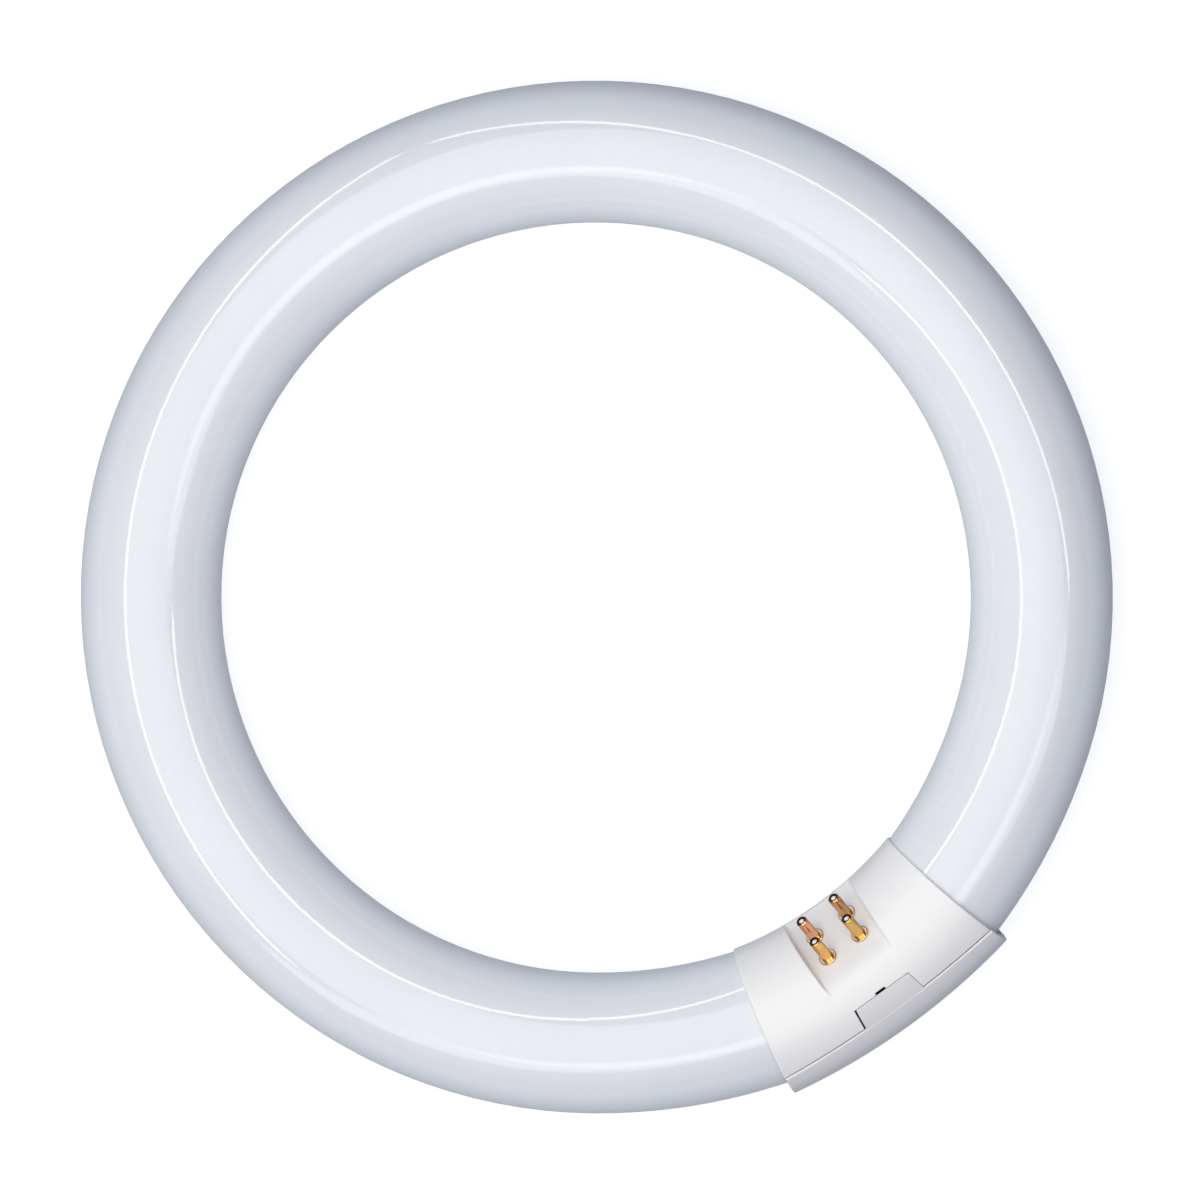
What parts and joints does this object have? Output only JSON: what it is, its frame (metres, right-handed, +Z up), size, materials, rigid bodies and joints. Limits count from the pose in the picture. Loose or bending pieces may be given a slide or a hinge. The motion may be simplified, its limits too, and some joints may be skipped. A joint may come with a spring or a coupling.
{
  "type": "circular fluorescent tube",
  "caption": "Ring-shaped white glass lamp closed by a white moulded cap with brass contact pins that face the middle of the ring at 45 degrees.",
  "frame": {"origin": "on the axis through the middle of the ring, at the level that the cap rests on", "axes": "+Z up out of the flat ring; the cap is at -Y and its pins face +Y and +Z at 45 degrees; +X along the tube to the right"},
  "size_m": [0.2096, 0.2123, 0.0315],
  "materials": {
    "coated_glass": "glossy glass, made opaque white by the powder coating inside",
    "cap_plastic": "satin white moulded plastic",
    "cover_plastic": "satin white moulded plastic",
    "pin_brass": "drawn brass, bright with a copper tone",
    "wire_metal": "plain nickel wire"
  },
  "bodies": {
    "root": {"glass_tube": "coated_glass", "cap_body": "cap_plastic", "cap_cover": "cover_plastic", "contact_pin_1": "pin_brass", "contact_pin_2": "pin_brass", "contact_pin_3": "pin_brass", "contact_pin_4": "pin_brass", "lead_wire_1": "wire_metal", "lead_wire_2": "wire_metal", "lead_wire_3": "wire_metal", "lead_wire_4": "wire_metal"}
  },
  "joints": []
}
